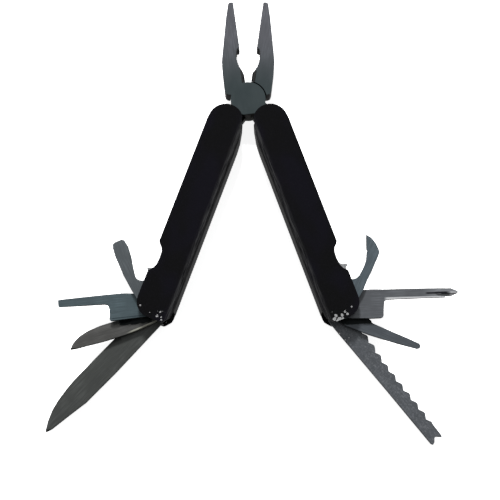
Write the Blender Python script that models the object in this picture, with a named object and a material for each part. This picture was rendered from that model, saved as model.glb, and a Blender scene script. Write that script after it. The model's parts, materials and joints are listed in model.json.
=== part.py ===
"""Folding pliers with eight tools, standing open with every tool partly out.

Lengths are written in millimetres and become metres where a mesh is made.
The tool lies flat: X across, Y towards the jaw tips, Z from back to front.
A jaw is drawn closed and a handle or a tool is drawn in its own frame, and
each is then turned about its joint axis to where it stands.
"""

import math

import bmesh
import bpy
from mathutils import Matrix, Vector

MM = 0.001
LEFT = -1
RIGHT = 1

# Driving dimensions
BODY_THICKNESS = 15.0        # across both plates of a handle
HANDLE_WIDTH = 17.2          # spine to mouth
PIVOT_TO_TOOL_PIN = 86.0     # along a handle
WALL = 1.3                   # sheet thickness of a handle
GAP = 0.3                    # between pieces that touch
JAW_OPENING = 7.87           # degrees, each jaw from closed
HANDLE_LEAN_CLOSED = 12.13   # degrees from straight down with the jaws closed
HANDLE_PIVOT_CLOSED = (8.61, -12.48)

# Head
HEAD_BACK = 4.5
HEAD_FRONT = 12.9
HEAD_MIDDLE = (HEAD_BACK + HEAD_FRONT) / 2
DISC_RADIUS = 8.0
DISC_CLEARANCE = 0.55
ARM_RADIUS = 3.8
LOBE_RADIUS = 5.6
JAW_PIN_RADIUS = 2.5
TIP_THICKNESS = 4.0
TAPER_START = 20.0
TIP_AT = 49.1

# Handle, along u from its pivot and across v from its spine
PIVOT_V = 9.0
TOOL_PIN_V = 6.2
END_RADIUS = 8.0
BEND_RADIUS = 2.2
SPINE_END = 90.0
HANDLE_END = 96.0
END_CORNER = 7.2             # radius at the mouth end of a handle
HANDLE_PIN_RADIUS = 2.2
TOOL_PIN_RADIUS = 1.5
PIN_SOCKET = 0.7

# Tools
TOOL_THICKNESS = 2.0
TANG_RADIUS = 4.6
CHAMFER = 0.12
EDGE_THICKNESS = 0.3
INNER_BACK = WALL
INNER_FRONT = BODY_THICKNESS - WALL
LEVELS = 4
LEVEL_GAP = (INNER_FRONT - INNER_BACK - LEVELS * TOOL_THICKNESS) / (LEVELS + 1)

# Mesh cleaning
MERGE_DISTANCE = 0.004
FLAT_WITHIN = 0.2            # degrees

STEEL_BLUE = (0.22, 0.27, 0.30)
STEEL_GREY = (0.24, 0.25, 0.26)
STEEL_BRIGHT = (0.55, 0.57, 0.58)
BLACK_COAT = (0.012, 0.012, 0.015)


# ---------------------------------------------------------------- scene, looks

def clear_scene():
    for thing in list(bpy.data.objects):
        bpy.data.objects.remove(thing, do_unlink=True)


def material(name, colour, roughness, metallic):
    made = bpy.data.materials.new(name)
    made.use_nodes = True
    shader = made.node_tree.nodes["Principled BSDF"]
    shader.inputs["Base Color"].default_value = (*colour, 1.0)
    shader.inputs["Roughness"].default_value = roughness
    shader.inputs["Metallic"].default_value = metallic
    return made


def merge_flat_faces(piece):
    """Removes the seams and slivers that Booleans leave inside flat faces."""
    shape = bmesh.new()
    shape.from_mesh(piece.data)
    bmesh.ops.remove_doubles(shape, verts=shape.verts, dist=MERGE_DISTANCE * MM)
    bmesh.ops.dissolve_limit(
        shape, angle_limit=math.radians(FLAT_WITHIN), verts=shape.verts, edges=shape.edges)
    bmesh.ops.triangulate(shape, faces=[f for f in shape.faces if len(f.verts) > 4])
    shape.to_mesh(piece.data)
    shape.free()


def dress(piece, name, colour, roughness=0.35, metallic=1.0, smooth_below=32.0):
    """Gives a finished piece its node name, its own material and its shading."""
    merge_flat_faces(piece)
    piece.name = name
    piece.data.name = name
    piece.data.materials.clear()
    piece.data.materials.append(material(name, colour, roughness, metallic))
    piece.data.shade_smooth()
    piece.data.set_sharp_from_angle(angle=math.radians(smooth_below))
    return piece


# ------------------------------------------------------------------- outlines

def arc(centre, radius, start, end, steps):
    """Points on a circle from one angle to another, in degrees."""
    points = []
    for step in range(steps + 1):
        angle = math.radians(start + (end - start) * step / steps)
        x = centre[0] + radius * math.cos(angle)
        y = centre[1] + radius * math.sin(angle)
        points.append((x, y))
    return points


def circle(centre, radius, steps):
    return arc(centre, radius, 0.0, 360.0 * (steps - 1) / steps, steps - 1)


def rounded(points, steps=4):
    """Turns each (x, y, radius) corner into an arc; a plain (x, y) stays sharp."""
    result = []
    for index, point in enumerate(points):
        corner = Vector(point[:2])
        if len(point) < 3:
            result.append(tuple(corner))
            continue
        back = Vector(points[index - 1][:2]) - corner
        ahead = Vector(points[(index + 1) % len(points)][:2]) - corner
        half = back.angle(ahead) / 2
        reach = point[2] / math.tan(half)
        centre = corner + (back.normalized() + ahead.normalized()).normalized() * (
            point[2] / math.sin(half))
        start = corner + back.normalized() * reach - centre
        end = corner + ahead.normalized() * reach - centre
        sweep = start.angle_signed(end)
        for step in range(steps + 1):
            turn = Matrix.Rotation(-sweep * step / steps, 2)
            result.append(tuple(centre + turn @ start))
    return result


def hull_of_circles(first, first_radius, second, second_radius, steps=20):
    """The outline of a belt round two circles."""
    axis = Vector(second) - Vector(first)
    heading = math.degrees(math.atan2(axis.y, axis.x))
    spread = math.degrees(math.acos((first_radius - second_radius) / axis.length))
    outline = arc(first, first_radius, heading + spread, heading + 360.0 - spread, steps * 2)
    outline += arc(second, second_radius, heading - spread, heading + spread, steps)
    return outline


def signed_area(outline):
    total = 0.0
    for index, (x, y) in enumerate(outline):
        last_x, last_y = outline[index - 1]
        total += last_x * y - x * last_y
    return total / 2


# --------------------------------------------------------------------- solids

def new_object(shape, name):
    bmesh.ops.recalc_face_normals(shape, faces=shape.faces)
    mesh = bpy.data.meshes.new(name)
    shape.to_mesh(mesh)
    shape.free()
    made = bpy.data.objects.new(name, mesh)
    bpy.context.scene.collection.objects.link(made)
    return made


def prism(outline, low, high, axes="XYZ"):
    """A closed solid from an outline; axes say where its x, its y and its depth lie."""
    order = ["XYZ".index(axis) for axis in axes]
    shape = bmesh.new()
    loops = []
    for depth in (low, high):
        ring = []
        for x, y in outline:
            place = [0.0, 0.0, 0.0]
            place[order[0]] = x * MM
            place[order[1]] = y * MM
            place[order[2]] = depth * MM
            ring.append(shape.verts.new(place))
        shape.faces.new(ring)
        loops.append(ring)
    for index in range(len(outline)):
        shape.faces.new((loops[0][index - 1], loops[0][index], loops[1][index], loops[1][index - 1]))
    return new_object(shape, "prism")


def box(low, high):
    outline = [(low[0], low[1]), (high[0], low[1]), (high[0], high[1]), (low[0], high[1])]
    return prism(outline, low[2], high[2])


def rod(centre, radius, low, high, steps=32):
    return prism(circle(centre, radius, steps), low, high)


def combine(piece, other, operation):
    """Adds, cuts or keeps what two solids share, and leaves one plain mesh."""
    modifier = piece.modifiers.new("join", "BOOLEAN")
    modifier.operation = operation
    modifier.solver = "EXACT"
    modifier.object = other
    bpy.context.view_layer.update()
    graph = bpy.context.evaluated_depsgraph_get()
    old = piece.data
    piece.data = bpy.data.meshes.new_from_object(piece.evaluated_get(graph))
    piece.modifiers.clear()
    bpy.data.meshes.remove(old)
    bpy.data.objects.remove(other, do_unlink=True)
    return piece


def join(piece, other):
    return combine(piece, other, "UNION")


def cut(piece, other):
    return combine(piece, other, "DIFFERENCE")


def plate(outline, low, high):
    """A flat piece with chamfered or ground edges.

    Each outline point is (x, y) or (x, y, width): the width is how far the
    grind of a sharpened edge reaches in from that point.
    """
    flat = [(point[0], point[1]) for point in outline]
    turn = 1.0 if signed_area(flat) > 0 else -1.0
    middle = (low + high) / 2
    half = (high - low) / 2
    inner = []
    edge = []
    for index, point in enumerate(outline):
        here = Vector(flat[index])
        before = (here - Vector(flat[index - 1])).normalized()
        after = (Vector(flat[(index + 1) % len(flat)]) - here).normalized()
        inward = (Vector((-before.y, before.x)) + Vector((-after.y, after.x))) * turn
        inward = inward / max(inward.length, 0.9)
        sharpened = len(point) > 2
        width = point[2] if sharpened else CHAMFER
        inner.append(here + inward * width)
        edge.append(EDGE_THICKNESS / 2 if sharpened else half - CHAMFER)
    shape = bmesh.new()
    rings = []
    for sign in (-1, 1):
        face = [shape.verts.new((p.x * MM, p.y * MM, (middle + sign * half) * MM)) for p in inner]
        rim = [
            shape.verts.new((x * MM, y * MM, (middle + sign * edge[index]) * MM))
            for index, (x, y) in enumerate(flat)
        ]
        shape.faces.new(face)
        rings.append((face, rim))
    count = len(flat)
    for face, rim in rings:
        for index in range(count):
            shape.faces.new((face[index - 1], face[index], rim[index], rim[index - 1]))
    back, front = rings[0][1], rings[1][1]
    for index in range(count):
        shape.faces.new((back[index - 1], back[index], front[index], front[index - 1]))
    return new_object(shape, "plate")


def place(piece, parent, location=(0.0, 0.0), degrees=0.0):
    piece.parent = parent
    piece.location = (location[0] * MM, location[1] * MM, 0.0)
    piece.rotation_euler = (0.0, 0.0, math.radians(degrees))
    return piece


def frame(name, parent, location=(0.0, 0.0), degrees=0.0):
    empty = bpy.data.objects.new(name, None)
    bpy.context.scene.collection.objects.link(empty)
    return place(empty, parent, location, degrees)


# ----------------------------------------------------------------------- head

def grip_teeth(count, start, end):
    """Fine teeth along the flat grip, as (distance from the middle, y)."""
    points = []
    depth = 0.3
    for tooth in range(count):
        share = tooth / count
        y = start[1] + (end[1] - start[1]) * share
        pitch = (end[1] - start[1]) / count
        x = start[0] + (end[0] - start[0]) * share
        points.append((x, y))
        points.append((x + depth, y + pitch * 0.5))
    points.append(end)
    return points


def pipe_teeth(count, centre, radius, start, end):
    """Coarse teeth round the hollow grip."""
    points = []
    depth = 0.35
    for step, (x, y) in enumerate(arc(centre, radius, start, end, count * 2)):
        reach = depth if step % 2 else 0.0
        away = Vector((x, y)) - Vector(centre)
        away.normalize()
        points.append((x + away.x * reach, y + away.y * reach))
    return points


CUTTER_LIPS = {
    LEFT: [(0.05, 4.0), (0.05, 12.9), (0.35, 14.2), (1.0, 15.0)],
    RIGHT: [(0.05, 4.0), (0.05, 14.0), (0.3, 14.5), (1.5, 14.9)],
}


def nose_outline(side):
    """One half of the closed head, as (distance from the middle, y)."""
    outline = list(CUTTER_LIPS[side])
    outline += pipe_teeth(7, (-9.9, 20.3), 12.45, -23.5, 18.5)
    outline += [(1.9, 25.0), (0.6, 25.1)]
    outline += grip_teeth(16, (0.5, 25.6), (0.35, 48.3))
    outline += [(0.65, TIP_AT), (2.2, TIP_AT), (2.8, 48.6)]
    outline += [(4.75, 41.4), (6.5, 33.5), (8.15, 26.2), (9.0, 22.3), (9.62, 19.3)]
    outline += [(9.85, 16.2), (9.95, 12.0), (10.0, 8.0), (10.05, 5.4), (9.9, 4.4)]
    outline += [(9.5, 3.6), (8.6, 3.1), (5.0, 2.4)]
    return outline


def taper_cutter(sign):
    """Takes the front or the back of the nose down towards its tip."""
    outer = HEAD_FRONT if sign > 0 else HEAD_BACK
    tip = HEAD_MIDDLE + sign * TIP_THICKNESS / 2
    slope = (tip - outer) / (TIP_AT - TAPER_START)
    start = TAPER_START - 3.0
    end = TIP_AT + 3.0
    outline = [
        (start, outer + slope * (start - TAPER_START)),
        (end, outer + slope * (end - TAPER_START)),
        (end, outer + sign * 3.0),
        (start, outer + sign * 3.0),
    ]
    return prism(outline, -20.0, 20.0, "YZX")


def cutter_bevel(side, sign):
    """Slants the wire cutter to an edge, on one face of a jaw."""
    top = HEAD_MIDDLE + sign * (HEAD_FRONT - HEAD_MIDDLE + 0.5)
    outline = [
        (side * 1.9, top),
        (side * 0.3, HEAD_MIDDLE + sign * 0.25),
        (-side * 1.5, HEAD_MIDDLE + sign * 0.25),
        (-side * 1.5, top),
    ]
    return prism(outline, DISC_RADIUS - 1.0, 15.6, "XZY")


def jaw(name, side, level_back, level_front):
    """A jaw whose nose is on one side and whose tang crosses to the other."""
    pivot = (-side * HANDLE_PIVOT_CLOSED[0], HANDLE_PIVOT_CLOSED[1])
    nose = prism([(side * x, y) for x, y in nose_outline(side)], HEAD_BACK, HEAD_FRONT)
    for sign in (-1, 1):
        cut(nose, taper_cutter(sign))
        cut(nose, cutter_bevel(side, sign))
    front_half = level_front > HEAD_MIDDLE
    other_back = HEAD_BACK - 1.0 if front_half else level_front
    other_front = level_back if front_half else HEAD_FRONT + 1.0
    cut(nose, rod((0.0, 0.0), DISC_RADIUS + DISC_CLEARANCE, other_back, other_front, 64))
    join(nose, rod((0.0, 0.0), DISC_RADIUS, level_back, level_front, 64))
    arm = hull_of_circles((0.0, 0.0), ARM_RADIUS, pivot, LOBE_RADIUS - GAP)
    join(nose, prism(arm, level_back, level_front))
    join(nose, rod(pivot, LOBE_RADIUS, HEAD_BACK, HEAD_FRONT, 40))
    cut(nose, rod(pivot, HANDLE_PIN_RADIUS + GAP, HEAD_BACK - 1.0, HEAD_FRONT + 1.0))
    pin_top = HEAD_FRONT - PIN_SOCKET
    cut(nose, rod((0.0, 0.0), JAW_PIN_RADIUS + GAP, HEAD_BACK - 1.0, pin_top))
    return dress(nose, name, STEEL_GREY, 0.38)


def build_head(root):
    """Both jaws and their pin; the left jaw is the front one and stays still."""
    split = GAP / 2
    left = jaw("left_jaw", LEFT, HEAD_MIDDLE + split, HEAD_FRONT)
    place(left, root, degrees=JAW_OPENING)
    right = jaw("right_jaw", RIGHT, HEAD_BACK, HEAD_MIDDLE - split)
    place(right, root, degrees=-JAW_OPENING)
    pin = rod((0.0, 0.0), JAW_PIN_RADIUS, HEAD_BACK + 0.1, HEAD_FRONT - PIN_SOCKET - GAP)
    place(dress(pin, "jaw_rivet", STEEL_BRIGHT), root)


# --------------------------------------------------------------------- handle

def handle_plan():
    """A handle seen from the front, as (u, v)."""
    head_end = [(10.5, 0.0), (4.5, 0.45), (-1.3, 1.6)]
    head_end += arc((0.0, PIVOT_V), END_RADIUS, 232.0, 100.0, 10)
    notch = [(2.0, HANDLE_WIDTH), (62.8, HANDLE_WIDTH), (63.9, 16.1), (65.3, 14.8)]
    notch += [(67.2, 14.25), (70.2, 14.15), (72.8, 14.5), (75.0, 15.5), (76.8, HANDLE_WIDTH)]
    tail = rounded([
        (66.0, HANDLE_WIDTH),
        (HANDLE_END, HANDLE_WIDTH, END_CORNER),
        (HANDLE_END + 0.3, 3.2, 1.4),
        (HANDLE_END - 2.6, 0.6),
        (HANDLE_END - 5.0, 0.0),
    ], 8)
    return head_end + notch + tail[1:]


def channel_section():
    """The folded sheet cut across, as (v, z)."""
    inner = BEND_RADIUS - WALL
    centre = (BEND_RADIUS, BEND_RADIUS)
    far_centre = (BEND_RADIUS, BODY_THICKNESS - BEND_RADIUS)
    past = HANDLE_WIDTH + 2.0
    section = [(past, 0.0)]
    section += arc(centre, BEND_RADIUS, 270.0, 180.0, 6)
    section += arc(far_centre, BEND_RADIUS, 180.0, 90.0, 6)
    section += [(past, BODY_THICKNESS), (past, INNER_FRONT)]
    section += arc(far_centre, inner, 90.0, 180.0, 4)
    section += arc(centre, inner, 180.0, 270.0, 4)
    section += [(past, INNER_BACK)]
    return section


def in_handle(side, outline):
    """Turns (u, v) points into a handle's own x and y."""
    return [(side * (v - PIVOT_V), -u) for u, v in outline]


def handle_point(side, u, v):
    return in_handle(side, [(u, v)])[0]


def handle(side, name):
    section = [(side * (v - PIVOT_V), z) for v, z in channel_section()]
    piece = prism(section, -120.0, 20.0, "XZY")
    plan = prism(in_handle(side, handle_plan()), -2.0, BODY_THICKNESS + 2.0)
    combine(piece, plan, "INTERSECT")
    x_low, x_high = sorted((side * (-PIVOT_V - 1.0), side * (WALL + 1.2 - PIVOT_V)))
    past_end = -HANDLE_END - 10.0
    cut(piece, box((x_low, past_end, INNER_BACK), (x_high, -SPINE_END, INNER_FRONT)))
    sockets = ((0.0, PIVOT_V, HANDLE_PIN_RADIUS), (PIVOT_TO_TOOL_PIN, TOOL_PIN_V, TOOL_PIN_RADIUS))
    for u, v, radius in sockets:
        centre = handle_point(side, u, v)
        socket = rod(centre, radius + GAP, WALL - PIN_SOCKET, BODY_THICKNESS - WALL + PIN_SOCKET)
        cut(piece, socket)
    return dress(piece, name, BLACK_COAT, 0.45, 0.0)


def ring(centre, outer, inner, low, high):
    piece = rod(centre, outer, low, high, 28)
    return cut(piece, rod(centre, inner, low - 1.0, high + 1.0, 24))


def level_back(level):
    """Back face of a tool; level 1 is at the front."""
    from_back = LEVELS - level
    return INNER_BACK + LEVEL_GAP + from_back * (TOOL_THICKNESS + LEVEL_GAP)


def back_spring(side):
    """A leaf along the spine, slotted into one finger for each tool."""
    spring_start, slot_start, spring_end = 62.0, 67.0, 79.6
    low, high = 2.2, BODY_THICKNESS - 2.2
    outline = [(-spring_start, low), (-spring_end, low)]
    for level in range(LEVELS - 1, 0, -1):
        slot = level_back(level) - LEVEL_GAP / 2
        outline += [(-spring_end, slot - GAP), (-slot_start, slot - GAP)]
        outline += [(-slot_start, slot + GAP), (-spring_end, slot + GAP)]
    outline += [(-spring_end, high), (-spring_start, high)]
    near, far = sorted((side * (1.6 - PIVOT_V), side * (2.0 - PIVOT_V)))
    return prism(outline, near, far, "YZX")


def liner(side, lip_at):
    """A thin steel plate behind the front of the handle, with a pointed lip."""
    edge = HANDLE_WIDTH - GAP
    outline = [(61.5, 9.2), (61.5, edge), (63.4, edge), (64.7, 15.6), (66.3, 14.8), (70.0, 14.6)]
    outline += [(lip_at - 1.9, 15.0), (lip_at - 1.1, 16.1), (lip_at - 0.6, 17.8), (lip_at, 18.05)]
    outline += [(lip_at + 1.0, edge), (79.0, edge), (79.0, 9.2)]
    return prism(in_handle(side, outline), INNER_FRONT - 2 * GAP, INNER_FRONT - GAP)


def build_handle(root, side, name):
    """A handle with its rivets, washers, spring and liner. Returns its frame."""
    closed = Vector((side * HANDLE_PIVOT_CLOSED[0], HANDLE_PIVOT_CLOSED[1]))
    pivot = Matrix.Rotation(math.radians(side * JAW_OPENING), 2) @ closed
    lean = side * (HANDLE_LEAN_CLOSED + JAW_OPENING)
    at = frame(name + "_frame", root, pivot, lean)
    place(handle(side, name), at)

    pin_low = WALL - PIN_SOCKET + GAP
    pin_high = BODY_THICKNESS - pin_low
    rivet = rod((0.0, 0.0), HANDLE_PIN_RADIUS, pin_low, pin_high, 28)
    place(dress(rivet, name + "_rivet", STEEL_BRIGHT), at)
    spacers = (("rear", INNER_BACK + GAP, HEAD_BACK - GAP), ("front", HEAD_FRONT + GAP, INNER_FRONT - GAP))
    for which, low, high in spacers:
        spacer = ring((0.0, 0.0), 4.5, HANDLE_PIN_RADIUS + GAP, low, high)
        place(dress(spacer, f"{name}_{which}_spacer", STEEL_BRIGHT), at)

    tool_pin_at = handle_point(side, PIVOT_TO_TOOL_PIN, TOOL_PIN_V)
    stem = "left" if side == LEFT else "right"
    pin = rod((0.0, 0.0), TOOL_PIN_RADIUS, pin_low, pin_high, 24)
    place(dress(pin, stem + "_tool_pin", STEEL_BRIGHT), at, tool_pin_at)
    for number in range(LEVELS + 1):
        middle = INNER_FRONT - LEVEL_GAP / 2 - number * (TOOL_THICKNESS + LEVEL_GAP)
        thin = LEVEL_GAP / 2 - GAP
        washer = ring((0.0, 0.0), 3.4, TOOL_PIN_RADIUS + GAP, middle - thin, middle + thin)
        place(dress(washer, f"{stem}_tool_washer_{number + 1}", STEEL_BRIGHT), at, tool_pin_at)
    place(dress(back_spring(side), stem + "_back_spring", STEEL_GREY), at)
    lip_at = 76.0 if side == LEFT else 74.1
    place(dress(liner(side, lip_at), stem + "_liner", STEEL_BRIGHT), at)
    return at


# ---------------------------------------------------------------------- tools

def tang(start, end):
    """The round root of a tool, from one angle to another about its pin."""
    return arc((0.0, 0.0), TANG_RADIUS, start, end, 10)


def wide_screwdriver():
    return tang(95.0, 262.0) + [
        (3.5, -10.8), (9.3, -11.75), (17.0, -12.6), (25.8, -12.8), (30.0, -12.45), (31.7, -11.9),
        (32.4, -10.7), (32.4, -7.5), (31.6, -6.4), (28.2, -5.8), (23.0, -6.35), (18.2, -7.35),
        (14.9, -7.85), (13.5, -7.85), (12.4, -7.25), (11.5, -6.1), (11.0, -4.6), (10.8, 2.2),
        (6.5, 3.2),
    ]


def long_screwdriver():
    return tang(60.0, 265.0) + [
        (4.9, -4.6), (5.6, -6.5), (24.2, -6.9), (24.8, -6.4), (24.6, -1.7), (24.9, -0.25), (25.5, 0.45),
        (26.6, 0.8), (46.8, 1.7), (47.1, 2.0), (47.1, 4.7), (46.8, 5.0), (26.0, 5.05), (18.5, 4.95),
        (14.5, 4.4), (8.0, 4.1),
    ]


def small_blade():
    return tang(70.0, 255.0) + [
        (4.9, -4.5), (5.6, -7.3), (8.0, -7.9), (14.0, -8.6), (21.0, -9.1), (31.0, -8.95), (38.0, -8.55),
        (43.0, -8.3), (46.2, -8.0, 1.0), (45.8, -7.1, 0.5), (44.7, -5.8, 1.2), (42.8, -4.4, 1.9),
        (40.5, -3.25, 2.5), (36.3, -2.15, 2.8), (30.9, -1.65, 2.8), (25.7, -1.6, 2.8),
        (17.0, -1.6, 2.6), (15.6, -1.5), (14.5, -0.3), (11.0, 0.6), (6.5, 2.4),
    ]


def knife_blade():
    return tang(62.0, 262.0) + [
        (4.9, -4.6), (5.6, -5.65), (16.0, -5.8), (38.0, -6.2), (56.1, -5.95), (61.5, -5.1), (65.9, -4.45),
        (74.4, -3.3), (77.4, -2.5, 1.5), (76.4, -1.4, 0.75), (73.1, 0.6, 2.2), (68.4, 2.6, 3.6),
        (64.0, 3.7, 4.3), (57.7, 4.6, 4.8), (52.5, 5.0, 5.0), (40.4, 5.0, 5.0), (28.2, 5.0, 5.0),
        (25.2, 5.0, 4.9), (24.2, 4.5), (20.0, 4.2), (10.0, 4.0), (6.0, 3.9),
    ]


def can_opener():
    return tang(95.0, 262.0) + [
        (3.0, -10.2), (9.6, -10.75), (14.5, -10.45), (20.5, -10.5), (25.6, -10.35), (27.6, -10.2),
        (28.5, -9.95), (29.6, -9.1, 0.7), (31.4, -7.0, 1.2), (32.5, -5.0, 1.4), (33.05, -3.3, 1.2),
        (33.15, -1.4, 0.1), (32.3, -1.7), (27.1, -4.2), (26.6, -4.9), (25.9, -4.9), (22.8, -6.1),
        (20.6, -6.45), (18.5, -6.5), (14.8, -6.35), (13.3, -5.8), (12.3, -4.9), (11.7, -3.8),
        (11.0, 2.4), (6.5, 3.3),
    ]


def cross_driver():
    return tang(60.0, 265.0) + [
        (4.9, -4.6), (5.6, -7.9), (9.0, -8.5), (17.0, -8.7), (21.5, -8.6), (22.3, -8.3), (22.65, -7.7),
        (23.1, -3.5), (23.4, -1.5), (23.9, -0.8), (24.8, -0.45), (42.0, -0.15), (50.5, -0.1),
        (50.5, 4.05), (42.2, 4.15), (22.6, 4.15), (12.0, 4.2), (8.0, 4.0),
    ]


def small_screwdriver():
    return tang(70.0, 258.0) + [
        (4.9, -4.6), (5.6, -7.4), (10.0, -8.2), (20.8, -8.35), (33.7, -7.6), (42.9, -6.75), (43.7, -6.2),
        (44.0, -5.5), (43.7, -4.7), (42.9, -4.1), (32.2, -3.5), (20.9, -2.95), (20.2, -2.7),
        (19.6, -2.0), (11.0, 0.8), (6.5, 2.6),
    ]


def fish_scaler():
    """A blade with hooked teeth along one side and a forked tip."""
    outline = tang(72.0, 262.0) + [(4.9, -4.6), (5.6, -6.4), (14.3, -6.7), (37.3, -7.05), (57.2, -7.55)]
    outline += [(75.4, -8.1), (76.3, -7.7), (75.9, -6.5), (74.5, -5.2), (74.4, -4.6), (75.0, -3.9)]
    outline += [(76.4, -2.7), (75.8, -2.1), (71.5, -1.85)]
    pitch = 5.2
    tops = (2.4, 1.8, 1.05, 0.45, 0.1, -0.25, -0.5, -0.75, -1.05, -1.45)
    for tooth, top in reversed(list(enumerate(tops))):
        along = 22.4 + pitch * tooth
        if tooth < len(tops) - 1:
            outline.append((along + 1.9, top - 1.3))
        outline += [(along + 0.3, top - 0.25), (along - 0.3, top), (along - 0.9, top - 0.1)]
        outline.append((along - 3.0, top - 1.05))
    outline += [(18.3, 1.45), (12.0, 2.2), (6.0, 3.4)]
    return outline


def thin_tip(piece, reach, length, tip_thickness, low, high):
    """Wedges a driver's end down to its blade."""
    drop = (TOOL_THICKNESS - tip_thickness) / 2
    slope = drop / length
    for outer, sign in ((high, 1), (low, -1)):
        outline = [
            (reach - length, outer),
            (reach + 2.0, outer - sign * (drop + slope * 2.0)),
            (reach + 2.0, outer + sign * 1.0),
            (reach - length, outer + sign * 1.0),
        ]
        cut(piece, prism(outline, -20.0, 20.0, "XZY"))


def add_cross_point(piece, side, low, high):
    """The round, four-fluted point on the end of the cross driver."""
    middle = (low + high) / 2
    across = side * 2.25
    radius = 1.85
    profile = [(46.0, 1.2), (47.4, radius), (53.2, radius), (55.6, 0.8), (56.3, 0.35)]
    shape = bmesh.new()
    rings = []
    steps = 16
    for along, size in profile:
        ring_points = []
        for y, z in circle((across, middle), size, steps):
            ring_points.append(shape.verts.new((along * MM, y * MM, z * MM)))
        rings.append(ring_points)
    shape.faces.new(rings[0])
    shape.faces.new(rings[-1])
    for first, second in zip(rings, rings[1:]):
        for index in range(steps):
            shape.faces.new((first[index - 1], first[index], second[index], second[index - 1]))
    join(piece, new_object(shape, "point"))
    for quarter in range(4):
        angle = math.radians(45.0 + 90.0 * quarter)
        flute = prism(circle((0.0, 0.0), 0.85, 10), 0.0, 9.0, "YZX")
        flute.data.transform(Matrix.Translation((
            48.6 * MM,
            (across + radius * math.cos(angle)) * MM,
            (middle + radius * math.sin(angle)) * MM,
        )))
        cut(piece, flute)
    return piece


# name, level, outline, degrees its drawn axis stands from the handle's, colour
LEFT_TOOLS = (
    ("wide_screwdriver", 1, wide_screwdriver, 43.0, STEEL_BLUE),
    ("long_screwdriver", 2, long_screwdriver, 116.0, STEEL_BLUE),
    ("small_blade", 3, small_blade, 128.0, STEEL_GREY),
    ("knife_blade", 4, knife_blade, 156.5, STEEL_GREY),
)
RIGHT_TOOLS = (
    ("can_opener", 1, can_opener, 46.0, STEEL_BLUE),
    ("cross_driver", 2, cross_driver, 108.5, STEEL_BLUE),
    ("small_screwdriver", 3, small_screwdriver, 130.6, STEEL_BLUE),
    ("fish_scaler", 4, fish_scaler, 159.5, STEEL_GREY),
)
WEDGES = {
    "wide_screwdriver": (32.4, 9.0, 0.6),
    "long_screwdriver": (47.1, 10.0, 0.8),
    "small_screwdriver": (44.0, 9.0, 0.8),
}


def build_tool(at, side, name, level, outline_of, turned, colour):
    low = level_back(level)
    high = low + TOOL_THICKNESS
    outline = [(point[0], side * point[1], *point[2:]) for point in outline_of()]
    piece = plate(outline, low, high)
    if name in WEDGES:
        reach, length, tip_thickness = WEDGES[name]
        thin_tip(piece, reach, length, tip_thickness, low, high)
    if name == "cross_driver":
        add_cross_point(piece, side, low, high)
    cut(piece, rod((0.0, 0.0), TOOL_PIN_RADIUS + GAP, low - 1.0, high + 1.0, 24))
    dress(piece, name, colour, 0.33)
    place(piece, at, handle_point(side, PIVOT_TO_TOOL_PIN, TOOL_PIN_V), 90.0 - side * turned)


def centre_on_floor(root):
    """Puts the middle of the back face's box at the origin."""
    bpy.context.view_layer.update()
    points = []
    for thing in bpy.data.objects:
        if thing.type == "MESH":
            points += [thing.matrix_world @ vertex.co for vertex in thing.data.vertices]
    x_low, x_high = min(p.x for p in points), max(p.x for p in points)
    y_low, y_high = min(p.y for p in points), max(p.y for p in points)
    root.location.x -= (x_low + x_high) / 2
    root.location.y -= (y_low + y_high) / 2
    root.location.z -= min(p.z for p in points)
    bpy.context.view_layer.update()


def main():
    clear_scene()
    root = frame("jaw_axis", None)
    build_head(root)
    for side, name, tools in ((LEFT, "left_handle", LEFT_TOOLS), (RIGHT, "right_handle", RIGHT_TOOLS)):
        at = build_handle(root, side, name)
        for tool_name, level, outline_of, turned, colour in tools:
            build_tool(at, side, tool_name, level, outline_of, turned, colour)
    centre_on_floor(root)


main()
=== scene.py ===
"""Looks for the folding multi tool: camera, light, floor and materials round the fixed frame."""

import json
import math

import bpy
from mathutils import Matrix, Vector

MM = 0.001

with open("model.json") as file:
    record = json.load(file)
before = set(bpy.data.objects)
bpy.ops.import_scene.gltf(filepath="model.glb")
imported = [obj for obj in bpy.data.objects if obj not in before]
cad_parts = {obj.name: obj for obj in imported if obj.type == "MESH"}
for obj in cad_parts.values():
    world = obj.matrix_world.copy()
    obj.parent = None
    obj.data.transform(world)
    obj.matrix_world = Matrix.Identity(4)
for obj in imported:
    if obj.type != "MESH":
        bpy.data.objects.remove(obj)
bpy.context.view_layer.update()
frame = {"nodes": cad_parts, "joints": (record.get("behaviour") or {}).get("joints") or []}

nodes = frame["nodes"]
joints = {joint["name"]: joint for joint in frame["joints"]}


def axis_of(joint_name):
    """Where a hinge's axis meets the back face."""
    place = joints[joint_name]["pos_m"]
    return Vector((place[0], place[1], 0.0))


HEAD_AXIS = axis_of("jaw_hinge")
HANDLE_AXIS = {"left": axis_of("left_handle_hinge"), "right": axis_of("right_handle_hinge")}
TOOL_AXIS = {"left": axis_of("knife_blade_hinge"), "right": axis_of("fish_scaler_hinge")}
SIDE = {"left": -1, "right": 1}
HANDLE_LEAN = 20.0           # degrees, each handle from straight down
JAW_LEAN = 7.87              # degrees, each jaw from straight up
PIVOT_V = 9.0                # mm from a handle's spine to its pivot
HANDLE_END_U = 96.0          # mm from a handle's pivot to its end

LEFT_TOOLS = {"wide_screwdriver": 43.0, "long_screwdriver": 116.0, "small_blade": 128.0, "knife_blade": 156.5}
RIGHT_TOOLS = {"can_opener": 46.0, "cross_driver": 108.5, "small_screwdriver": 130.6, "fish_scaler": 159.5}


# --------------------------------------------------------------------- camera

AIM = HEAD_AXIS + Vector((0.87, -69.85, 7.5)) * MM
CAMERA_DISTANCE = 480.0 * MM
CAMERA_ELEVATION = 78.0
CAMERA_LENS = 76.85
CAMERA_CLIP = (0.02, 10.0)
SENSOR_WIDTH = 36.0


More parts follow.
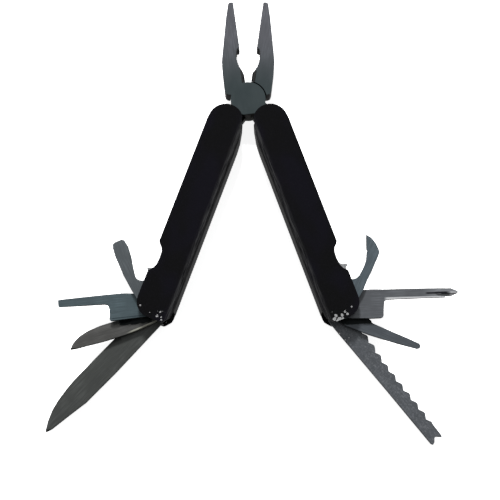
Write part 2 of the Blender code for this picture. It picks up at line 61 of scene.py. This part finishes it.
def make_camera():
    camera_data = bpy.data.cameras.new("camera")
    camera_data.lens = CAMERA_LENS
    camera_data.sensor_width = SENSOR_WIDTH
    camera_data.clip_start = CAMERA_CLIP[0]
    camera_data.clip_end = CAMERA_CLIP[1]
    camera = bpy.data.objects.new("camera", camera_data)
    bpy.context.scene.collection.objects.link(camera)
    tilt = math.radians(CAMERA_ELEVATION)
    back = Vector((0.0, -math.cos(tilt), math.sin(tilt)))
    camera.location = AIM + back * CAMERA_DISTANCE
    camera.rotation_mode = "QUATERNION"
    camera.rotation_quaternion = (-back).to_track_quat("-Z", "Y")
    bpy.context.scene.camera = camera


# ---------------------------------------------------------------------- light

KEY_OFFSET = (-0.12, 0.95, 1.0)
KEY_SIZE = (0.22, 0.22)
KEY_POWER = 38.0


def area_light(name, offset, size, power):
    data = bpy.data.lights.new(name, "AREA")
    data.shape = "RECTANGLE"
    data.size, data.size_y = size
    data.energy = power
    lamp = bpy.data.objects.new(name, data)
    bpy.context.scene.collection.objects.link(lamp)
    lamp.location = AIM + Vector(offset)
    lamp.rotation_mode = "QUATERNION"
    lamp.rotation_quaternion = (-Vector(offset)).to_track_quat("-Z", "Y")
    return lamp


WORLD_DIRECTION = (-0.75, 0.35)    # Y of a direction, where the room is dim and where it is bright
WORLD_STRENGTH = (0.10, 0.42)


def make_world():
    """A pale room that is brighter towards +Y and overhead than towards -Y."""
    world = bpy.data.worlds.new("studio")
    world.use_nodes = True
    tree = world.node_tree
    background = tree.nodes["Background"]
    direction = tree.nodes.new("ShaderNodeTexCoord")
    split = tree.nodes.new("ShaderNodeSeparateXYZ")
    ramp = tree.nodes.new("ShaderNodeMapRange")
    ramp.inputs["From Min"].default_value = WORLD_DIRECTION[0]
    ramp.inputs["From Max"].default_value = WORLD_DIRECTION[1]
    ramp.inputs["To Min"].default_value = WORLD_STRENGTH[0]
    ramp.inputs["To Max"].default_value = WORLD_STRENGTH[1]
    tree.links.new(direction.outputs["Generated"], split.inputs[0])
    tree.links.new(split.outputs["Y"], ramp.inputs["Value"])
    tree.links.new(ramp.outputs["Result"], background.inputs["Strength"])
    background.inputs["Color"].default_value = (1.0, 1.0, 1.0, 1.0)
    bpy.context.scene.world = world
    bpy.context.scene.view_settings.view_transform = "Standard"


FLOOR_HALF = 12.0            # metres
FLOOR_DROP = 0.3             # mm below the part
FLOOR_GLOW = 0.85


def make_floor():
    """A pale floor that glows to the camera and lights nothing."""
    half = FLOOR_HALF
    mesh = bpy.data.meshes.new("floor")
    corners = [(-half, -half, 0.0), (half, -half, 0.0), (half, half, 0.0), (-half, half, 0.0)]
    mesh.from_pydata(corners, [], [(0, 1, 2, 3)])
    floor = bpy.data.objects.new("floor", mesh)
    bpy.context.scene.collection.objects.link(floor)
    floor.location.z = -FLOOR_DROP * MM
    paper = bpy.data.materials.new("white_floor")
    paper.use_nodes = True
    shader = paper.node_tree.nodes["Principled BSDF"]
    shader.inputs["Base Color"].default_value = (0.93, 0.93, 0.93, 1.0)
    shader.inputs["Roughness"].default_value = 0.9
    shader.inputs["Emission Color"].default_value = (1.0, 1.0, 1.0, 1.0)
    shader.inputs["Emission Strength"].default_value = FLOOR_GLOW
    floor.visible_diffuse = False
    floor.visible_glossy = False
    mesh.materials.append(paper)


# ------------------------------------------------------------- material tools

class Surface:
    """A Principled material and short calls for the nodes that feed it."""

    def __init__(self, name, roughness, metallic, specular=0.5):
        self.material = bpy.data.materials.new(name)
        self.material.use_nodes = True
        self.tree = self.material.node_tree
        self.shader = self.tree.nodes["Principled BSDF"]
        self.shader.inputs["Roughness"].default_value = roughness
        self.shader.inputs["Metallic"].default_value = metallic
        self.shader.inputs["Specular IOR Level"].default_value = specular
        coordinates = self.tree.nodes.new("ShaderNodeTexCoord")
        self.place = coordinates.outputs["Object"]
        self.facing = coordinates.outputs["Normal"]

    def link(self, source, target):
        self.tree.links.new(source, target)

    def feed(self, socket_name, source):
        self.link(source, self.shader.inputs[socket_name])

    def local(self, origin, degrees):
        """Coordinates in mm from an origin, turned so that a drawn piece's own axes are X and Y."""
        shift = self.tree.nodes.new("ShaderNodeVectorMath")
        shift.operation = "SUBTRACT"
        shift.inputs[1].default_value = origin
        self.link(self.place, shift.inputs[0])
        turn = self.tree.nodes.new("ShaderNodeVectorRotate")
        turn.rotation_type = "Z_AXIS"
        turn.inputs["Angle"].default_value = -math.radians(degrees)
        self.link(shift.outputs[0], turn.inputs["Vector"])
        grow = self.tree.nodes.new("ShaderNodeVectorMath")
        grow.operation = "SCALE"
        grow.inputs["Scale"].default_value = 1.0 / MM
        self.link(turn.outputs[0], grow.inputs[0])
        return grow.outputs[0]

    def stretch(self, vector, scale):
        node = self.tree.nodes.new("ShaderNodeVectorMath")
        node.operation = "MULTIPLY"
        node.inputs[1].default_value = scale
        self.link(vector, node.inputs[0])
        return node.outputs[0]

    def noise(self, vector, scale, detail=2.0, roughness=0.5):
        """Noise whose vector is in mm and whose scale is in waves for each mm, along each axis."""
        node = self.tree.nodes.new("ShaderNodeTexNoise")
        node.inputs["Scale"].default_value = 1.0
        node.inputs["Detail"].default_value = detail
        node.inputs["Roughness"].default_value = roughness
        self.link(self.stretch(vector, scale), node.inputs["Vector"])
        return node.outputs["Fac"]

    def dots(self, vector, scale, radius):
        """Round dots, one in each random cell; the scale is in cells for each mm."""
        node = self.tree.nodes.new("ShaderNodeTexVoronoi")
        node.inputs["Scale"].default_value = 1.0
        self.link(self.stretch(vector, (scale, scale, scale)), node.inputs["Vector"])
        return self.ramp(node.outputs["Distance"], radius, radius * 0.75)

    def walls(self):
        """One on faces that stand upright, nought on the flat front and back."""
        flatness = self.math("ABSOLUTE", self.axis(self.facing, "Z"), 0.0)
        return self.ramp(flatness, 0.85, 0.45)

    def band(self, value, low, high, soft):
        """One between two values, falling to nought over a soft width."""
        rise = self.ramp(value, low - soft, low + soft)
        return self.math("MULTIPLY", rise, self.ramp(value, high + soft, high - soft))

    def wobble(self, vector, scale, amount):
        """The same coordinates, each pushed about by noise."""
        push = self.tree.nodes.new("ShaderNodeTexNoise")
        push.inputs["Scale"].default_value = scale
        self.link(vector, push.inputs["Vector"])
        moved = self.tree.nodes.new("ShaderNodeVectorMath")
        moved.operation = "MULTIPLY_ADD"
        self.link(push.outputs["Color"], moved.inputs[0])
        moved.inputs[1].default_value = (amount, amount, 0.0)
        self.link(vector, moved.inputs[2])
        return moved.outputs[0]

    def axis(self, vector, letter):
        node = self.tree.nodes.new("ShaderNodeSeparateXYZ")
        self.link(vector, node.inputs[0])
        return node.outputs[letter]

    def ramp(self, value, low, high, out_low=0.0, out_high=1.0):
        """A smooth step from one value to another."""
        node = self.tree.nodes.new("ShaderNodeMapRange")
        node.interpolation_type = "SMOOTHSTEP"
        node.inputs["From Min"].default_value = low
        node.inputs["From Max"].default_value = high
        node.inputs["To Min"].default_value = out_low
        node.inputs["To Max"].default_value = out_high
        self.link(value, node.inputs["Value"])
        return node.outputs["Result"]

    def math(self, operation, first, second):
        node = self.tree.nodes.new("ShaderNodeMath")
        node.operation = operation
        for index, value in enumerate((first, second)):
            if isinstance(value, (int, float)):
                node.inputs[index].default_value = value
            else:
                self.link(value, node.inputs[index])
        return node.outputs[0]

    def both(self, first, second):
        """The product of two masks."""
        return self.math("MULTIPLY", first, second)

    def mix(self, factor, first, second):
        """Blends two colours, each a socket or three numbers."""
        node = self.tree.nodes.new("ShaderNodeMix")
        node.data_type = "RGBA"
        self.link(factor, node.inputs["Factor"])
        for name, value in (("A", first), ("B", second)):
            socket = [s for s in node.inputs if s.name == name and s.type == "RGBA"][0]
            if isinstance(value, tuple):
                socket.default_value = (*value, 1.0)
            else:
                self.link(value, socket)
        return [s for s in node.outputs if s.type == "RGBA"][0]

    def bump(self, height, distance, strength=1.0):
        node = self.tree.nodes.new("ShaderNodeBump")
        node.inputs["Distance"].default_value = distance * MM
        node.inputs["Strength"].default_value = strength
        self.link(height, node.inputs["Height"])
        self.feed("Normal", node.outputs["Normal"])


# ------------------------------------------------------------------ materials

STEEL_METALLIC = 0.7
STEEL_ROUGHNESS = 0.36
GRAIN_DEPTH = 0.006          # mm


def scaled(colour, factor):
    return tuple(channel * factor for channel in colour)


def ground_steel(name, origin, degrees, dark, light, grain):
    """Brushed steel: fine grain along one local axis, soft blotches and tiny pits, and painted shade on the
    upright walls.
    """
    surface = Surface(name, STEEL_ROUGHNESS, STEEL_METALLIC)
    at = surface.local(origin, degrees)
    lines = surface.noise(at, grain, 3.0, 0.6)
    blotches = surface.noise(at, (0.16, 0.16, 0.16), 2.0)
    colour = surface.mix(surface.ramp(blotches, 0.3, 0.7), dark, light)
    streaked = surface.mix(surface.ramp(lines, 0.35, 0.65), scaled(dark, 0.88), colour)
    # painted shade: the upright walls are darkened in the colour
    streaked = surface.mix(surface.math("MULTIPLY", surface.walls(), 0.6), streaked, scaled(dark, 0.3))
    surface.feed("Base Color", streaked)
    surface.feed("Roughness", surface.ramp(lines, 0.3, 0.7, STEEL_ROUGHNESS - 0.05, STEEL_ROUGHNESS + 0.08))
    surface.bump(lines, GRAIN_DEPTH)
    return surface, at, streaked


# Painted shade: a dark patch over the cutter faces.
CUTTER_HALF = {"left": 1.6, "right": 2.0}    # mm from the middle
CUTTER_HEIGHT = (8.5, 13.9)                  # mm above the rivet
# Painted shade: a dark bar under the disc, between the handles.
UNDER_DISC_HALF = 3.0
UNDER_DISC_HEIGHT = (-11.0, -7.4)
# Painted shade: the nose tones are lighter and the disc tones darker, fading between the NOSE_FADE heights.
NOSE_TONES = ((0.130, 0.134, 0.150), (0.165, 0.170, 0.192))
NOSE_STREAK = (0.118, 0.122, 0.136)
DISC_TONES = ((0.052, 0.068, 0.072), (0.062, 0.079, 0.083))
NOSE_FADE = (4.0, 34.0)
# Painted shade on the upright jaw walls.
JAW_WALL_SHADE = (0.016, 0.018, 0.019)
CUTTER_SHADE_TONE = (0.006, 0.007, 0.008)
UNDER_DISC_SHADE_TONE = (0.003, 0.003, 0.003)


def middle_patch(surface, height, from_middle, span, half):
    """A mask over the middle of a jaw, between two heights and within half a width."""
    return surface.both(surface.band(height, *span, 0.3), surface.ramp(from_middle, half + 0.25, half - 0.25))


def jaw_steel(side):
    """Grey forged steel with painted shade: darker towards the disc, darker on the upright walls, and dark
    patches of painted shade at the cutter and under the disc.
    """
    surface = Surface(side + "_jaw_steel", 0.42, STEEL_METALLIC)
    at = surface.local(HEAD_AXIS, -SIDE[side] * JAW_LEAN)
    lines = surface.noise(at, (2.2, 0.10, 1.5), 3.0, 0.6)
    blotches = surface.noise(at, (0.22, 0.10, 0.2), 2.0)
    upper = surface.mix(surface.ramp(blotches, 0.3, 0.7), *NOSE_TONES)
    upper = surface.mix(surface.ramp(lines, 0.35, 0.65), NOSE_STREAK, upper)
    lower = surface.mix(surface.ramp(blotches, 0.3, 0.7), *DISC_TONES)
    height = surface.axis(at, "Y")
    # painted shade: light nose fading to a dark disc
    colour = surface.mix(surface.ramp(height, *NOSE_FADE), lower, upper)
    # painted shade: upright walls darkened
    colour = surface.mix(surface.walls(), colour, JAW_WALL_SHADE)
    from_middle = surface.math("ABSOLUTE", surface.axis(at, "X"), 0.0)
    # painted shade over the cutter faces
    cutter_shade = middle_patch(surface, height, from_middle, CUTTER_HEIGHT, CUTTER_HALF[side])
    colour = surface.mix(cutter_shade, colour, CUTTER_SHADE_TONE)
    # painted shade under the disc
    under_disc_shade = middle_patch(surface, height, from_middle, UNDER_DISC_HEIGHT, UNDER_DISC_HALF)
    colour = surface.mix(under_disc_shade, colour, UNDER_DISC_SHADE_TONE)
    surface.feed("Base Color", colour)
    surface.feed("Roughness", surface.ramp(lines, 0.3, 0.7, 0.38, 0.5))
    surface.bump(lines, GRAIN_DEPTH)
    return surface.material


# Spine wear and painted highlight: a lighter streaked strip along the rounded bend.
SPINE_WEAR_AND_SHEEN = {"left": 0.85, "right": 0.75}
# Painted glints: bright metal dots at a handle's end, standing in for glints off the tool tangs.
GLINT_SHARE = {"left": 0.60, "right": 0.85}
GLINT_CELLS = {"left": 0.66, "right": 0.60}
GLINT_SIZE = {"left": 0.36, "right": 0.44}
GLINT_WOBBLE = 1.3
GLINT_BAND = (-4.2, 0.2)      # mm along a handle, from its end
COAT_TONES = ((0.0022, 0.0022, 0.0024), (0.0027, 0.0025, 0.0042))
COAT_SPECKLE = (0.010, 0.0095, 0.013)
COAT_WEAR_AND_SHEEN = (0.042, 0.042, 0.043)
GLINT_METAL = (0.92, 0.93, 0.93)


def black_coat(side):
    """Black coat with fine speckle, worn and given a painted highlight along the folded spine, with painted
    glints as bright metal dots at the end.
    """
    sign = SIDE[side]
    surface = Surface(side + "_black_coat", 0.42, 0.0, specular=0.10)
    at = surface.local(HANDLE_AXIS[side], sign * HANDLE_LEAN)
    across = surface.axis(at, "X")
    along = surface.math("MULTIPLY", surface.axis(at, "Y"), -1.0)
    from_spine = surface.math("ADD", surface.math("MULTIPLY", across, float(sign)), PIVOT_V)

    speckle = surface.noise(at, (3.2, 3.2, 3.2), 2.0, 0.7)
    tint = surface.noise(at, (0.09, 0.06, 0.1), 1.0)
    base = surface.mix(surface.ramp(tint, 0.35, 0.65), *COAT_TONES)
    base = surface.mix(surface.ramp(speckle, 0.56, 0.72), base, COAT_SPECKLE)

    # wear and painted highlight along the spine bend
    streaks = surface.noise(at, (3.0, 0.12, 3.0), 3.0, 0.65)
    near_bend = surface.ramp(from_spine, 3.1, 1.2)
    wear_and_sheen = surface.math("MULTIPLY", near_bend, surface.ramp(streaks, 0.38, 0.66))
    colour = surface.mix(wear_and_sheen, base, scaled(COAT_WEAR_AND_SHEEN, SPINE_WEAR_AND_SHEEN[side]))

    # painted glints near the handle's end
    near_end = surface.band(along, HANDLE_END_U + GLINT_BAND[0], HANDLE_END_U + GLINT_BAND[1], 0.3)
    toward_spine = surface.ramp(from_spine, 14.5, 6.0, 0.32, GLINT_SHARE[side])
    kept = surface.math("LESS_THAN", surface.noise(at, (0.5, 0.5, 0.5), 1.0), toward_spine)
    at_end = surface.math("MULTIPLY", near_end, surface.ramp(from_spine, 2.6, 3.4))
    shifted = surface.wobble(at, 0.7, GLINT_WOBBLE)
    dots = surface.dots(shifted, GLINT_CELLS[side], GLINT_SIZE[side])
    glints = surface.math("MULTIPLY", dots, surface.math("MULTIPLY", at_end, kept))
    colour = surface.mix(glints, colour, GLINT_METAL)
    surface.feed("Base Color", colour)
    surface.feed("Metallic", glints)
    surface.feed("Roughness", surface.ramp(speckle, 0.3, 0.8, 0.36, 0.52))
    surface.bump(speckle, 0.02, 0.6)
    return surface.material


def dress(node, material):
    """Cleans a CAD node's flat faces, shades it smooth, and gives it its material."""
    piece = nodes[node]
    mesh = piece.data
    mesh.materials.clear()
    mesh.materials.append(material)
    for name in ("custom_normal", "sharp_face", "sharp_edge"):
        if name in mesh.attributes:
            mesh.attributes.remove(mesh.attributes[name])
    for polygon in mesh.polygons:
        polygon.use_smooth = True
        polygon.material_index = 0
    return piece


FLAT_ANGLE = 0.6             # degrees, faces within it are joined into one
EDGE_ANGLE = 32.0            # degrees, sharper edges are rounded
EDGE_ROUND = {"jaw": 0.12, "handle": 0.22, "tool": 0.10, "small": 0.06}


def soften(piece, width):
    weld = piece.modifiers.new("weld", "WELD")
    weld.merge_threshold = 0.002 * MM
    flat = piece.modifiers.new("flat", "DECIMATE")
    flat.decimate_type = "DISSOLVE"
    flat.angle_limit = math.radians(FLAT_ANGLE)
    bevel = piece.modifiers.new("edges", "BEVEL")
    bevel.width = width * MM
    bevel.segments = 2
    bevel.limit_method = "ANGLE"
    bevel.angle_limit = math.radians(EDGE_ANGLE)
    bevel.miter_outer = "MITER_ARC"
    bevel.use_clamp_overlap = True
    normals = piece.modifiers.new("normals", "WEIGHTED_NORMAL")
    normals.mode = "FACE_AREA"
    normals.weight = 80
    normals.thresh = 0.01


TOOL_TONE = {
    "wide_screwdriver": (0.140, 0.158, 0.170),
    "long_screwdriver": (0.118, 0.160, 0.178),
    "small_blade": (0.124, 0.124, 0.120),
    "knife_blade": (0.098, 0.104, 0.100),
    "can_opener": (0.132, 0.166, 0.188),
    "cross_driver": (0.165, 0.175, 0.190),
    "small_screwdriver": (0.130, 0.146, 0.165),
    "fish_scaler": (0.170, 0.182, 0.202),
}


def tool_degrees(side, name):
    """How far a tool's own X axis is turned from the frame's."""
    turned = {**LEFT_TOOLS, **RIGHT_TOOLS}[name]
    return SIDE[side] * HANDLE_LEAN + 90.0 - SIDE[side] * turned


def painted_shadow_strip(surface, colour, side, beside, offset, width, along):
    """A painted shadow: a dark strip across a tool, laid beside the lower edge of the tool named, where that
    tool's block casts its shadow.
    """
    at = surface.local(TOOL_AXIS[side], tool_degrees(side, beside))
    across = surface.math("MULTIPLY", surface.axis(at, "Y"), -float(SIDE[side]))
    ragged = surface.ramp(surface.noise(at, (0.4, 0.8, 0.4), 2.0), 0.3, 0.7, -0.25, 0.25)
    strip = surface.band(surface.math("ADD", across, ragged), offset, offset + width, 0.2)
    reach = surface.band(surface.axis(at, "X"), along[0], along[1], 0.5)
    return surface.mix(surface.math("MULTIPLY", strip, reach), colour, (0.004, 0.007, 0.008))


def finish_tool(name, side, surface, at, colour):
    """The marks that only some of the tools carry: painted highlights, painted shadows and shade, and the
    scaler's mottle, specks and painted glints.
    """
    along = surface.axis(at, "X")
    across = surface.math("MULTIPLY", surface.axis(at, "Y"), float(SIDE[side]))
    if name == "cross_driver":
        point = surface.ramp(along, 39.0, 47.0, 0.0, 0.7)
        # painted highlight at the tip
        tip_highlight = surface.math("MULTIPLY", surface.ramp(along, 52.0, 53.2), surface.ramp(across, 2.6, 1.9))
        # painted shade in the flute
        flute_shade = surface.both(surface.band(across, 1.55, 2.35, 0.15), surface.band(along, 42.0, 51.5, 0.8))
        # painted highlight along the lower edge
        lower_edge_highlight = surface.both(surface.ramp(across, 0.75, 0.2), surface.band(along, 24.0, 57.0, 1.0))
        colour = surface.mix(point, colour, (0.27, 0.28, 0.30))
        colour = surface.mix(flute_shade, colour, (0.020, 0.020, 0.026))
        colour = surface.mix(surface.math("MAXIMUM", lower_edge_highlight, tip_highlight), colour, (0.75, 0.76, 0.78))
    if name == "small_screwdriver":
        # painted shadow of the cross driver's block
        colour = painted_shadow_strip(surface, colour, side, "cross_driver", 8.2, 2.5, (3.0, 24.0))
    if name == "small_blade":
        # painted shadow of the long screwdriver's block
        colour = painted_shadow_strip(surface, colour, side, "long_screwdriver", 6.4, 2.6, (6.5, 21.0))
        # painted highlight: a light line along the blade's lower edge
        from_edge = surface.math("ADD", across, surface.math("MULTIPLY", along, 0.09))
        painted_line = surface.both(surface.band(from_edge, -7.6, -6.5, 0.2), surface.band(along, 3.0, 19.0, 2.0))
        colour = surface.mix(painted_line, colour, (0.42, 0.42, 0.36))
    if name == "long_screwdriver":
        # painted shade: a dark line along the lower edge
        painted_line = surface.both(surface.band(across, -6.1, -5.7, 0.2), surface.band(along, 8.0, 24.0, 1.0))
        colour = surface.mix(surface.math("MULTIPLY", painted_line, 0.7), colour, (0.016, 0.026, 0.034))
    if name == "fish_scaler":
        mottle = surface.noise(at, (1.3, 1.3, 1.3), 3.0, 0.7)
        colour = surface.mix(surface.ramp(mottle, 0.42, 0.62, 0.0, 0.5), colour, (0.085, 0.095, 0.10))
        colour = surface.mix(surface.ramp(mottle, 0.46, 0.34, 0.0, 0.5), colour, (0.27, 0.28, 0.29))
        # painted glints near the root, continuing the handle-end glints
        root_glints = surface.both(surface.dots(at, 0.38, 0.16), surface.ramp(along, 24.0, 14.0))
        specks_and_glints = surface.math("MAXIMUM", surface.dots(at, 0.16, 0.12), root_glints)
        colour = surface.mix(specks_and_glints, colour, (0.75, 0.75, 0.76))
    surface.feed("Base Color", colour)


def make_tools():
    for side, tools in (("left", LEFT_TOOLS), ("right", RIGHT_TOOLS)):
        for name in tools:
            tone = TOOL_TONE[name]
            surface, at, colour = ground_steel(
                name + "_steel", TOOL_AXIS[side], tool_degrees(side, name),
                scaled(tone, 0.85), scaled(tone, 1.12), (0.12, 2.4, 1.5))
            finish_tool(name, side, surface, at, colour)
            soften(dress(name, surface.material), EDGE_ROUND["tool"])


RIVET_TONES = ((0.30, 0.31, 0.32), (0.42, 0.43, 0.44))
BRIGHT_TONES = ((0.34, 0.35, 0.36), (0.50, 0.51, 0.52))


def make_head():
    for side in ("left", "right"):
        soften(dress(side + "_jaw", jaw_steel(side)), EDGE_ROUND["jaw"])
    rivet = ground_steel("rivet_steel", HEAD_AXIS, 0.0, *RIVET_TONES, (1.0, 1.0, 1.0))[0]
    soften(dress("jaw_rivet", rivet.material), EDGE_ROUND["small"])


def make_handles():
    for side in ("left", "right"):
        soften(dress(side + "_handle", black_coat(side)), EDGE_ROUND["handle"])
        lean = SIDE[side] * HANDLE_LEAN
        name = side + "_bright_steel"
        bright = ground_steel(name, HANDLE_AXIS[side], lean, *BRIGHT_TONES, (1.6, 0.2, 1.6))[0]
        small = [f"{side}_handle_rivet", f"{side}_handle_rear_spacer", f"{side}_handle_front_spacer"]
        small += [f"{side}_tool_pin", f"{side}_back_spring", f"{side}_liner"]
        small += [f"{side}_tool_washer_{number}" for number in range(1, 6)]
        for node in small:
            soften(dress(node, bright.material), EDGE_ROUND["small"])


make_camera()
make_world()
make_floor()
key = area_light("key", KEY_OFFSET, KEY_SIZE, KEY_POWER)
key.visible_glossy = False
make_head()
make_handles()
make_tools()
